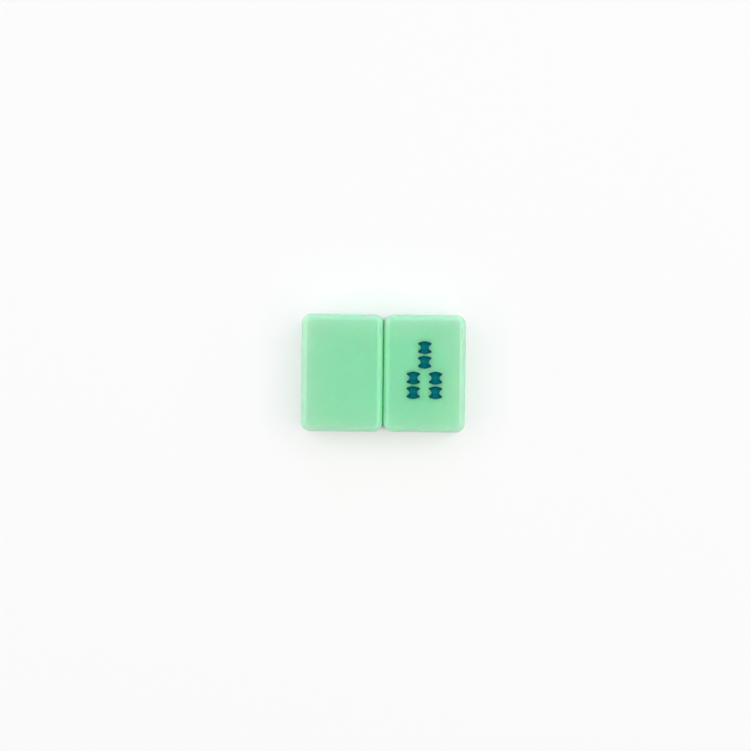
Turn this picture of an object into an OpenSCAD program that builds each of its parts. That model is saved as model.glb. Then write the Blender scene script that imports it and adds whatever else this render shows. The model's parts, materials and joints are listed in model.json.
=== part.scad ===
// A pair of mahjong tiles lying side by side on a table. The left tile shows a plain side.
// The right tile lies face up and carries a three of bamboo, engraved and lined with enamel.
// Sizes are in millimetres: X runs across the pair, Y along the tiles and Z up from the table.
// The origin is on the table, midway between the two tiles.

/* [Tile block] */
// Width of a tile
tile_w = 22.2; // [18:0.1:30]
// Length of a tile
tile_l = 31.8; // [28:0.1:42]
// Thickness of a tile
tile_t = 15.9; // [11:0.1:22]
// Radius of the four upright corners
corner_r = 2.7; // [2.2:0.1:4]
// Radius of the rolled edge round the face and round the back
edge_r = 1.7; // [0.6:0.1:2]
// Gap between the two tiles
tile_gap = 0.05; // [0.05:0.05:5]

/* [Bamboo figure] */
// Length of one bamboo cane
cane_l = 7.4; // [6:0.1:9]
// Width of a cane across its knuckles, at the face
knuckle_w = 3.6; // [3.2:0.1:4.6]
// Width of a cane at its waists, at the face
waist_w = 2.2; // [1.6:0.1:2.8]
// Length of the band at full width on each knuckle
knuckle_l = 0.45; // [0.2:0.05:0.7]
// Bare strip across the middle of a cane, between its two joints
land_w = 0.45; // [0.3:0.05:0.8]
// Distance between the middles of the two lower canes
cane_pitch = 6; // [5:0.1:8]
// Distance between the upper cane and the lower two
row_gap = 0.8; // [0.4:0.1:2]
// How far the figure's middle lies above the middle of the tile
figure_lift = 0.9; // [-1:0.1:1.5]

/* [Engraving] */
// Depth of the engraved recesses
cut_depth = 0.8; // [0.5:0.05:1.2]
// Height of each recess's axis of turning above the face, which sets how its walls slope
axis_lift = 1.0; // [0.5:0.05:1.5]
// How far the end walls of a recess lean in, from its tip to its full width
end_lean = 0.45; // [0.2:0.05:0.6]
// Thickness of the enamel on the walls of a recess
wall_film = 0.12; // [0.08:0.01:0.2]
// Thickness of the enamel on the floor of a recess
floor_film = 0.2; // [0.1:0.01:0.3]

/* [Hidden] */
$fn = 64;

MINT = [0.557, 0.878, 0.682];
TEAL = [0.0, 0.41, 0.43];

// Middles of the two tiles.
plain_tile_x = -(tile_w + tile_gap) / 2;
figure_tile_x = (tile_w + tile_gap) / 2;

// A cane has two joints, one above the other, and each joint is one recess.
joint_l = (cane_l - land_w) / 2;
joint_step = (joint_l + land_w) / 2;
knuckle_r = norm([knuckle_w / 2, axis_lift]);
waist_r = norm([waist_w / 2, axis_lift]);
end_slope = end_lean / (knuckle_r - axis_lift);

// The hollow side of a joint is an arc from knuckle to knuckle.
bow_half_l = joint_l / 2 - end_lean - knuckle_l;
bow_rise = knuckle_r - waist_r;
bow_r = (bow_half_l * bow_half_l + bow_rise * bow_rise) / (2 * bow_rise);

// Middles of the three canes, measured from the middle of the figure tile.
row_step = (cane_l + row_gap) / 2;
upper_cane = [0, figure_lift + row_step];
left_cane = [-cane_pitch / 2, figure_lift - row_step];
right_cane = [cane_pitch / 2, figure_lift - row_step];

// Outline of one end of a tile, from its corner's axis outwards, with both edges rolled.
module end_outline(reach) {
    intersection() {
        square([reach, tile_t]);
        union() {
            square([reach - edge_r, tile_t]);
            translate([0, edge_r]) square([reach, tile_t - 2 * edge_r]);
            for (z = [edge_r, tile_t - edge_r])
                translate([reach - edge_r, z]) circle(edge_r);
        }
    }
}

// The full-width middle of a tile, as long as the straight part of its long sides.
module tile_middle() {
    rotate([90, 0, 0])
        linear_extrude(tile_l - 2 * corner_r, center = true)
            for (side = [0, 1])
                mirror([side, 0]) end_outline(tile_w / 2);
}

// One short end of a tile, between its two corners.
module tile_end() {
    translate([0, tile_l / 2 - corner_r, 0])
        rotate([90, 0, 90])
            linear_extrude(tile_w - 2 * corner_r, center = true)
                end_outline(corner_r);
}

// One upright corner of a tile, turned about its own axis.
module tile_corner() {
    translate([tile_w / 2 - corner_r, tile_l / 2 - corner_r, 0])
        rotate_extrude(angle = 90) end_outline(corner_r);
}

// A whole tile block with every edge and corner rolled over.
module tile_block() {
    tile_middle();
    for (far = [0, 1])
        mirror([0, far, 0]) {
            tile_end();
            for (side = [0, 1])
                mirror([side, 0, 0]) tile_corner();
        }
}

// Outline of a bamboo joint from its axis outwards, drawn in by inset on every side.
module joint_outline(inset) {
    tip_y = joint_l / 2 + end_slope * axis_lift - inset * norm([1, end_slope]);
    rim_r = knuckle_r - inset;
    rim_y = tip_y - end_slope * rim_r;
    difference() {
        polygon([[0, -tip_y], [rim_r, -rim_y], [rim_r, rim_y], [0, tip_y]]);
        translate([waist_r + bow_r, 0]) circle(bow_r + inset);
    }
}

// A bamboo joint as a turned solid, cut off flat at its floor and a little above the face.
module joint_tool(inset, floor_z, top_z) {
    intersection() {
        translate([0, 0, tile_t + axis_lift])
            rotate([90, 0, 0])
                rotate_extrude() joint_outline(inset);
        translate([-knuckle_w, -joint_l, floor_z])
            cube([2 * knuckle_w, 2 * joint_l, top_z - floor_z]);
    }
}

// Puts what it is given at the upper or lower joint of a cane on the figure tile.
module at_joint(cane, side) {
    translate([figure_tile_x + cane[0], cane[1] + side * joint_step, 0]) children();
}

module plain_tile_block() {
    color(MINT) translate([plain_tile_x, 0, 0]) tile_block();
}

module figure_tile_block() {
    color(MINT)
        difference() {
            translate([figure_tile_x, 0, 0]) tile_block();
            for (cane = [upper_cane, left_cane, right_cane], side = [-1, 1])
                at_joint(cane, side)
                    joint_tool(0, tile_t - cut_depth, tile_t + axis_lift);
        }
}

// The enamel that lines one recess, level with the face at its rim.
module joint_enamel(cane, side) {
    color(TEAL)
        at_joint(cane, side)
            difference() {
                joint_tool(0, tile_t - cut_depth, tile_t);
                joint_tool(wall_film, tile_t - cut_depth + floor_film, tile_t + axis_lift);
            }
}

plain_tile_block();
figure_tile_block();
joint_enamel(upper_cane, 1);  // upper_cane_top_enamel
joint_enamel(upper_cane, -1);  // upper_cane_bottom_enamel
joint_enamel(left_cane, 1);  // left_cane_top_enamel
joint_enamel(left_cane, -1);  // left_cane_bottom_enamel
joint_enamel(right_cane, 1);  // right_cane_top_enamel
joint_enamel(right_cane, -1);  // right_cane_bottom_enamel
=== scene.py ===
import json
import math

import bpy
from mathutils import Matrix, Vector


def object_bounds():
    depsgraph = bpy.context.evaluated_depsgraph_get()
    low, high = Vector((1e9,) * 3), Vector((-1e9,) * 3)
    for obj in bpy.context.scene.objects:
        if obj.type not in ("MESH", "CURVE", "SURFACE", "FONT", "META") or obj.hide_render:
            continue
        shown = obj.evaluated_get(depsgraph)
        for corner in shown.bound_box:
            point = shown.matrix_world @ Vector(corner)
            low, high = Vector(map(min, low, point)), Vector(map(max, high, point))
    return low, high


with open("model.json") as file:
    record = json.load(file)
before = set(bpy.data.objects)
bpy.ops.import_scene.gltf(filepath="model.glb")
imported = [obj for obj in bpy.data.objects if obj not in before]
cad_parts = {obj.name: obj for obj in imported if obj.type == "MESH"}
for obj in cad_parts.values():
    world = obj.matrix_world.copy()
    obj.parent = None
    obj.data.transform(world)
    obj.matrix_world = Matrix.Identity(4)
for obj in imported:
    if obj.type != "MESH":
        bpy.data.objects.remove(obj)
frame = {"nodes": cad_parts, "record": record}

# A pair of mahjong tiles on a white table, seen from straight above. Lengths are in metres,
# and a name that ends in PX or MM says where they are pixels or millimetres.
CAD_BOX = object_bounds()
MM = 0.001

# The photograph's frame, in its own pixels, and where the pair lies in it.
FRAME_PX = 751
PAIR_MIDDLE_PX = (383.3, 373.1)
PAIR_WIDTH_PX = 164.8
PAIR_TURN = math.radians(0.6)
CAMERA_HEIGHT = 0.7
SENSOR_WIDTH_MM = 36.0
NEAREST_SHOWN = 0.01
FARTHEST_SHOWN = 20.0

# Rays that one reading of openness takes.
FEW_SAMPLES = 4
MANY_SAMPLES = 16


class Nodes:
    """A short way to write a node tree."""

    def __init__(self, tree):
        self.tree = tree
        tree.nodes.clear()

    def add(self, kind, **settings):
        node = self.tree.nodes.new("ShaderNode" + kind)
        for name, value in settings.items():
            setattr(node, name, value)
        return node

    def link(self, source, target):
        self.tree.links.new(source, target)

    def noise(self, coords, scale, detail):
        node = self.add("TexNoise")
        node.inputs["Scale"].default_value = scale
        node.inputs["Detail"].default_value = detail
        self.link(coords, node.inputs["Vector"])
        return node.outputs["Fac"]

    def stretch(self, coords, factors):
        node = self.add("Mapping")
        node.inputs["Scale"].default_value = factors
        self.link(coords, node.inputs["Vector"])
        return node.outputs["Vector"]

    def to_range(self, value, low, high, span):
        """Low at the start of the span of values, high at its end, and in step between."""
        start, end = span
        node = self.add("MapRange")
        node.inputs["From Min"].default_value = start
        node.inputs["From Max"].default_value = end
        node.inputs["To Min"].default_value = low
        node.inputs["To Max"].default_value = high
        self.link(value, node.inputs["Value"])
        return node.outputs["Result"]

    def mix_colours(self, factor, first, second):
        node = self.add("Mix", data_type="RGBA")
        self.link(factor, node.inputs["Factor"])
        for socket, colour in ((node.inputs["A"], first), (node.inputs["B"], second)):
            if isinstance(colour, tuple):
                socket.default_value = (*colour, 1.0)
            else:
                self.link(colour, socket)
        return node.outputs["Result"]

    def math(self, operation, *values):
        return self.operate(self.add("Math", operation=operation), values).outputs["Value"]

    def operate(self, node, values):
        """Gives a node's inputs, in turn, either a plain value or another node's output."""
        for socket, value in zip(node.inputs, values):
            if isinstance(value, bpy.types.NodeSocket):
                self.link(value, socket)
            else:
                socket.default_value = value
        return node

    def openness(self, reach, samples=FEW_SAMPLES):
        """1 where nothing lies within reach of the surface, and towards 0 deep in a crevice."""
        node = self.add("AmbientOcclusion", samples=samples)
        node.inputs["Distance"].default_value = reach
        return node.outputs["AO"]

    def bump(self, height, distance):
        node = self.add("Bump")
        node.inputs["Distance"].default_value = distance
        self.link(height, node.inputs["Height"])
        return node.outputs["Normal"]


def new_material(name):
    material = bpy.data.materials.new(name)
    material.use_nodes = True
    return material, Nodes(material.node_tree)


def finish_surface(nodes, shader):
    output = nodes.add("OutputMaterial")
    nodes.link(shader.outputs[0], output.inputs["Surface"])


# Mint acrylic. Red light travels far in it, so it looks paler towards edges that light reaches from two
# sides, and darker round the enamel; the rolled edges are also painted paler, a painted glow. Between two
# tiles the green is painted deeper, a painted shade for light that bounces many times there. Handling has
# rubbed the rolled edges a little duller in patches.
MINT = (0.245, 0.700, 0.407)
MINT_CLOUD = (0.260, 0.715, 0.421)
MINT_PAINTED_EDGE_GLOW = (0.335, 0.770, 0.490)
MINT_PAINTED_CREVICE_SHADE = (0.050, 0.730, 0.290)
EDGE_MASK_PEAK = 2.6
CREVICE_REACH = 1.3 * MM
CREVICE_SPAN = (0.1, 0.6)
SCATTER_DEPTH = 32.0 * MM
SCATTER_SHARES = (1.0, 0.13, 0.4)
ACRYLIC_IOR = 1.49

# Each noise has its scale, per metre, and its detail. A span is the part of its values that shows.
CLOUD_NOISE = (110.0, 3.0)
CLOUD_SPAN = (0.35, 0.65)
SMUDGE_NOISE = (260.0, 4.0)
SMUDGE_SPAN = (0.35, 0.7)
SMUDGE_ROUGHNESS = (0.04, 0.10)
RUB_NOISE = (900.0, 3.0)
RUB_SPAN = (0.45, 0.65)
RUB_ROUGHNESS = 0.10
RIPPLE_NOISE = (160.0, 1.0)
RIPPLE_HEIGHT = 0.01 * MM


def round_the_edge(nodes):
    """1 a little past halfway down a rolled edge, and 0 on the flat faces and upright sides."""
    normal = nodes.add("SeparateXYZ")
    nodes.link(nodes.add("TexCoord").outputs["Normal"], normal.inputs["Vector"])
    rise = nodes.math("ABSOLUTE", normal.outputs["Z"])
    tilt = nodes.math("SUBTRACT", 1.0, nodes.math("MULTIPLY", rise, rise))
    return nodes.math("MULTIPLY", nodes.math("MULTIPLY", rise, tilt), EDGE_MASK_PEAK)


def mint_acrylic():
    material, nodes = new_material("mint_acrylic")
    coords = nodes.add("TexCoord").outputs["Object"]
    shader = nodes.add("BsdfPrincipled")
    edge = round_the_edge(nodes)
    cloud = nodes.to_range(nodes.noise(coords, *CLOUD_NOISE), 0.0, 1.0, CLOUD_SPAN)
    face = nodes.mix_colours(cloud, MINT, MINT_CLOUD)
    # Painted glow: the rolled edges are painted paler, standing in for light coming through them.
    face = nodes.mix_colours(edge, face, MINT_PAINTED_EDGE_GLOW)
    # Painted shade: the green is painted deeper where the tiles hem each other in.
    out_of_painted_crevice_shade = nodes.to_range(nodes.openness(CREVICE_REACH), 0.0, 1.0, CREVICE_SPAN)
    nodes.link(nodes.mix_colours(out_of_painted_crevice_shade, MINT_PAINTED_CREVICE_SHADE, face), shader.inputs["Base Color"])
    smudge = nodes.to_range(nodes.noise(coords, *SMUDGE_NOISE), *SMUDGE_ROUGHNESS, SMUDGE_SPAN)
    rub = nodes.to_range(nodes.noise(coords, *RUB_NOISE), 0.0, RUB_ROUGHNESS, RUB_SPAN)
    nodes.link(nodes.math("ADD", smudge, nodes.math("MULTIPLY", edge, rub)), shader.inputs["Roughness"])
    shader.inputs["IOR"].default_value = ACRYLIC_IOR
    shader.inputs["Subsurface Weight"].default_value = 1.0
    shader.inputs["Subsurface Radius"].default_value = SCATTER_SHARES
    shader.inputs["Subsurface Scale"].default_value = SCATTER_DEPTH
    ripple = nodes.noise(coords, *RIPPLE_NOISE)
    nodes.link(nodes.bump(ripple, RIPPLE_HEIGHT), shader.inputs["Normal"])
    finish_surface(nodes, shader)
    return material


# Teal enamel, brushed on: thin and light where a stroke ran dry, and painted darker along the rims of the
# recess as painted shade.
TEAL = (0.0, 0.138, 0.154)
TEAL_THIN = (0.001, 0.212, 0.220)
TEAL_PAINTED_RIM_SHADE = (0.0, 0.052, 0.047)
RIM_REACH = 0.6 * MM
RIM_SPAN = (0.35, 0.85)
STREAK_STRETCH = (1.0, 0.25, 1.0)
STREAK_NOISE = (2600.0, 3.0)
STREAK_HEIGHT = 0.02 * MM
THIN_SPAN = (0.4, 0.75)
THIN_SHARE = 0.6
ENAMEL_ROUGHNESS = (0.30, 0.45)
ENAMEL_ROUGHNESS_SPAN = (0.3, 0.7)
ENAMEL_GLOSS = 0.03


def teal_enamel():
    material, nodes = new_material("teal_enamel")
    coords = nodes.add("TexCoord").outputs["Object"]
    shader = nodes.add("BsdfPrincipled")
    streak = nodes.noise(nodes.stretch(coords, STREAK_STRETCH), *STREAK_NOISE)
    thinness = nodes.to_range(streak, 0.0, THIN_SHARE, THIN_SPAN)
    coat = nodes.mix_colours(thinness, TEAL, TEAL_THIN)
    # Painted shade: the enamel is painted darker where the recess walls close in round it.
    away_from_painted_rim_shade = nodes.to_range(nodes.openness(RIM_REACH), 0.0, 1.0, RIM_SPAN)
    nodes.link(nodes.mix_colours(away_from_painted_rim_shade, TEAL_PAINTED_RIM_SHADE, coat), shader.inputs["Base Color"])
    shader.inputs["Specular IOR Level"].default_value = ENAMEL_GLOSS
    roughness = nodes.to_range(streak, *ENAMEL_ROUGHNESS, ENAMEL_ROUGHNESS_SPAN)
    nodes.link(roughness, shader.inputs["Roughness"])
    nodes.link(nodes.bump(streak, STREAK_HEIGHT), shader.inputs["Normal"])
    finish_surface(nodes, shader)
    return material


def dress_blocks_and_enamel():
    finishes = {"mint_acrylic": mint_acrylic(), "teal_enamel": teal_enamel()}
    for part in frame["record"]["subparts"]:
        node = frame["nodes"][part["node"]]
        node.data.materials.clear()
        node.data.materials.append(finishes[part["material_slot"]])
        for face in node.data.polygons:
            face.material_index = 0


# Table, light and camera.
FLOOR_SIZE = 6.0
FLOOR_COLOUR = (0.955, 0.955, 0.955)
FLOOR_PAINTED_SHADE_COLOUR = (0.05, 0.08, 0.02)
FLOOR_ROUGHNESS = 0.6
FLOOR_GLOSS = 0.2
FLOOR_SHOWN_WHITE_SHARE = 0.8
FLOOR_SHADE_REACH = 20.0 * MM
FLOOR_CONTACT_REACH = 6.0 * MM
NOTCH_TO_SIDE_SPAN = (0.24, 0.46)
WORLD_LEVEL = 0.06
WORLD_COLOUR = (1.0, 1.0, 1.0, 1.0)
SHOWN_WHITE = (0.955, 0.955, 0.955, 1.0)


def seen(nodes):
    """1 for what the camera sees, straight or in a reflection, and 0 for light on its way."""
    path = nodes.add("LightPath").outputs
    mirrored = nodes.math("MAXIMUM", path["Is Glossy Ray"], path["Is Transmission Ray"])
    return nodes.math("MAXIMUM", path["Is Camera Ray"], mirrored)


def blend(nodes, factor, first, second, output_kind):
    mix = nodes.add("MixShader")
    nodes.link(factor, mix.inputs["Fac"])
    nodes.link(first.outputs[0], mix.inputs[1])
    nodes.link(second.outputs[0], mix.inputs[2])
    output = nodes.add(output_kind)
    nodes.link(mix.outputs[0], output.inputs["Surface"])


def contact_shade(nodes):
    """Painted shade on the table: 1 deep in the notches between the tiles' corners, slight along their
    sides, 0 on the open table.
    """
    openness = nodes.openness(FLOOR_CONTACT_REACH, MANY_SAMPLES)
    return nodes.to_range(openness, 1.0, 0.0, NOTCH_TO_SIDE_SPAN)


def make_floor():
    bpy.ops.mesh.primitive_plane_add(size=FLOOR_SIZE, location=(0.0, 0.0, 0.0))
    floor = bpy.context.object
    floor.name = "floor"
    material, nodes = new_material("white_table")
    contact = contact_shade(nodes)
    table = nodes.add("BsdfPrincipled")
    # The table is painted dark as painted shade in the notches and slightly along the tiles' sides.
    nodes.link(nodes.mix_colours(contact, FLOOR_COLOUR, FLOOR_PAINTED_SHADE_COLOUR), table.inputs["Base Color"])
    table.inputs["Roughness"].default_value = FLOOR_ROUGHNESS
    table.inputs["Specular IOR Level"].default_value = FLOOR_GLOSS
    shown = nodes.add("Emission")
    shown.inputs["Color"].default_value = SHOWN_WHITE
    share = nodes.math("MULTIPLY", nodes.openness(FLOOR_SHADE_REACH), FLOOR_SHOWN_WHITE_SHARE)
    share = nodes.math("MULTIPLY", share, nodes.math("SUBTRACT", 1.0, contact))
    blend(nodes, nodes.math("MULTIPLY", seen(nodes), share), table, shown, "OutputMaterial")
    floor.data.materials.append(material)


def make_world():
    world = bpy.data.worlds.new("studio")
    bpy.context.scene.world = world
    world.use_nodes = True
    nodes = Nodes(world.node_tree)
    light = nodes.add("Background")
    light.inputs["Color"].default_value = WORLD_COLOUR
    light.inputs["Strength"].default_value = WORLD_LEVEL
    shown = nodes.add("Background")
    shown.inputs["Color"].default_value = SHOWN_WHITE
    blend(nodes, seen(nodes), light, shown, "OutputWorld")


# Soft boxes: name, azimuth from +X, height angle, (length, height), radiance and tint. The thin ones draw
# the fine highlights along the rolled edges. The far ones are a little cool and the rest a little warm:
# together they are white on the open table, and the shadow on the near side turns slightly warm.
LIGHT_DISTANCE = 0.65
COOL = (0.80, 1.0, 1.15)
WARM = (1.057, 1.0, 0.958)
LAMPS = (
    ("right_low", 5.0, 30.0, (0.8, 0.20), 1.8, WARM),
    ("right_thin", 5.0, 56.0, (0.8, 0.07), 3.2, WARM),
    ("right_high", 5.0, 64.0, (0.6, 0.40), 1.78, WARM),
    ("left_rim", 180.0, 12.0, (0.8, 0.25), 1.2, WARM),
    ("left_low", 180.0, 30.0, (0.8, 0.20), 0.55, WARM),
    ("left_thin", 180.0, 53.0, (0.8, 0.07), 3.6, WARM),
    ("left_high", 180.0, 64.0, (0.6, 0.40), 1.33, WARM),
    ("far_low", 90.0, 34.0, (0.8, 0.35), 1.15, COOL),
    ("far_high", 90.0, 68.0, (0.6, 0.40), 0.84, COOL),
    ("near_low", 270.0, 30.0, (0.8, 0.20), 0.75, WARM),
)


def soft_light(name, azimuth, height_angle, size, radiance, tint):
    """A rectangular soft box aimed at the pair. radiance 1 is as bright as a white wall."""
    raised = Matrix.Rotation(math.radians(-height_angle), 3, "Y")
    turned = Matrix.Rotation(math.radians(azimuth), 3, "Z")
    place = turned @ raised @ Vector((LIGHT_DISTANCE, 0.0, 0.0))
    data = bpy.data.lights.new(name, "AREA")
    data.shape = "RECTANGLE"
    data.size, data.size_y = size
    data.color = tint
    data.energy = radiance * math.pi * size[0] * size[1]
    light = bpy.data.objects.new(name, data)
    bpy.context.scene.collection.objects.link(light)
    light.location = place
    light.rotation_euler = (-place).to_track_quat("-Z", "Y").to_euler()


def make_lights():
    for lamp in LAMPS:
        soft_light(*lamp)


def make_camera():
    data = bpy.data.cameras.new("camera")
    data.sensor_width = SENSOR_WIDTH_MM
    camera = bpy.data.objects.new("camera", data)
    bpy.context.scene.collection.objects.link(camera)
    bpy.context.scene.camera = camera
    low, high = CAD_BOX
    pixel = (high.x - low.x) / PAIR_WIDTH_PX
    data.lens = SENSOR_WIDTH_MM * (CAMERA_HEIGHT - high.z) / (FRAME_PX * pixel)
    middle = FRAME_PX / 2
    aside = Vector((middle - PAIR_MIDDLE_PX[0], PAIR_MIDDLE_PX[1] - middle)) * pixel
    turned = Matrix.Rotation(PAIR_TURN, 2) @ aside
    camera.location = (turned.x, turned.y, CAMERA_HEIGHT)
    camera.rotation_euler = (0.0, 0.0, PAIR_TURN)
    data.clip_start = NEAREST_SHOWN
    data.clip_end = FARTHEST_SHOWN


bpy.context.scene.view_settings.view_transform = "Standard"
make_camera()
make_world()
make_lights()
make_floor()
dress_blocks_and_enamel()
